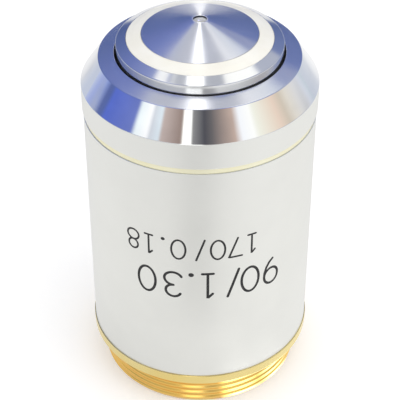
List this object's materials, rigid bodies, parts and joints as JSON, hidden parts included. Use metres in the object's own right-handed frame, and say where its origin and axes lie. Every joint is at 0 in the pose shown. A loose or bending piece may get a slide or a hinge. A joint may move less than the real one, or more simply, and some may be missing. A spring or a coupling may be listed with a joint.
{
  "type": "microscope objective",
  "caption": "Spring-loaded oil-immersion microscope objective: brass mount thread, satin chrome sleeve, bevelled collar and sliding conical nose with a white band.",
  "frame": {"origin": "centre of the end face of the mount thread, on the optical axis; the objective stands on this face, nose up", "axes": "+Z along the optical axis from the mount thread to the nose; +X towards the guide screw inside the sleeve"},
  "size_m": [0.0226, 0.0226, 0.0396],
  "materials": {
    "mount_brass": "turned, lacquered",
    "seam_brass": "turned, pale",
    "tube_brass": "turned",
    "cell_brass": "turned",
    "satin_chrome": "satin plated",
    "collar_chrome": "mirror plated, satin band",
    "nose_chrome": "mirror plated",
    "white_enamel": "glossy enamel",
    "black_metal": "matt blackened",
    "steel": "turned",
    "spring_steel": "drawn wire",
    "glass": "polished, coated"
  },
  "bodies": {
    "mount": {"thread_mount": "mount_brass", "outer_sleeve": "satin_chrome", "seam_ring": "seam_brass", "front_collar": "collar_chrome", "guide_screw": "steel", "rear_baffle": "black_metal", "spring": "spring_steel"},
    "nose": {"lens_tube": "tube_brass", "nose_barrel": "nose_chrome", "white_band": "white_enamel", "nose_cone": "nose_chrome", "front_lens": "glass", "second_cell": "cell_brass", "meniscus_lens": "glass", "meniscus_ring": "cell_brass", "front_doublet_cell": "cell_brass", "front_flint": "glass", "front_crown": "glass", "front_doublet_ring": "cell_brass", "spacer_ring": "cell_brass", "rear_doublet_cell": "cell_brass", "rear_flint": "glass", "rear_crown": "glass", "rear_doublet_ring": "cell_brass", "retaining_ring": "black_metal", "rear_diaphragm": "black_metal", "stop_nut": "steel", "lock_nut": "steel", "spring_washer": "steel"}
  },
  "joints": [
    {"name": "nose_slide", "type": "slide", "parent": "mount", "child": "nose", "axis": [0, 0, -1], "range_m": [0, 0.002], "stiffness_N_per_m": 500, "springref_m": -0.003, "deforming": ["spring"]}
  ]
}
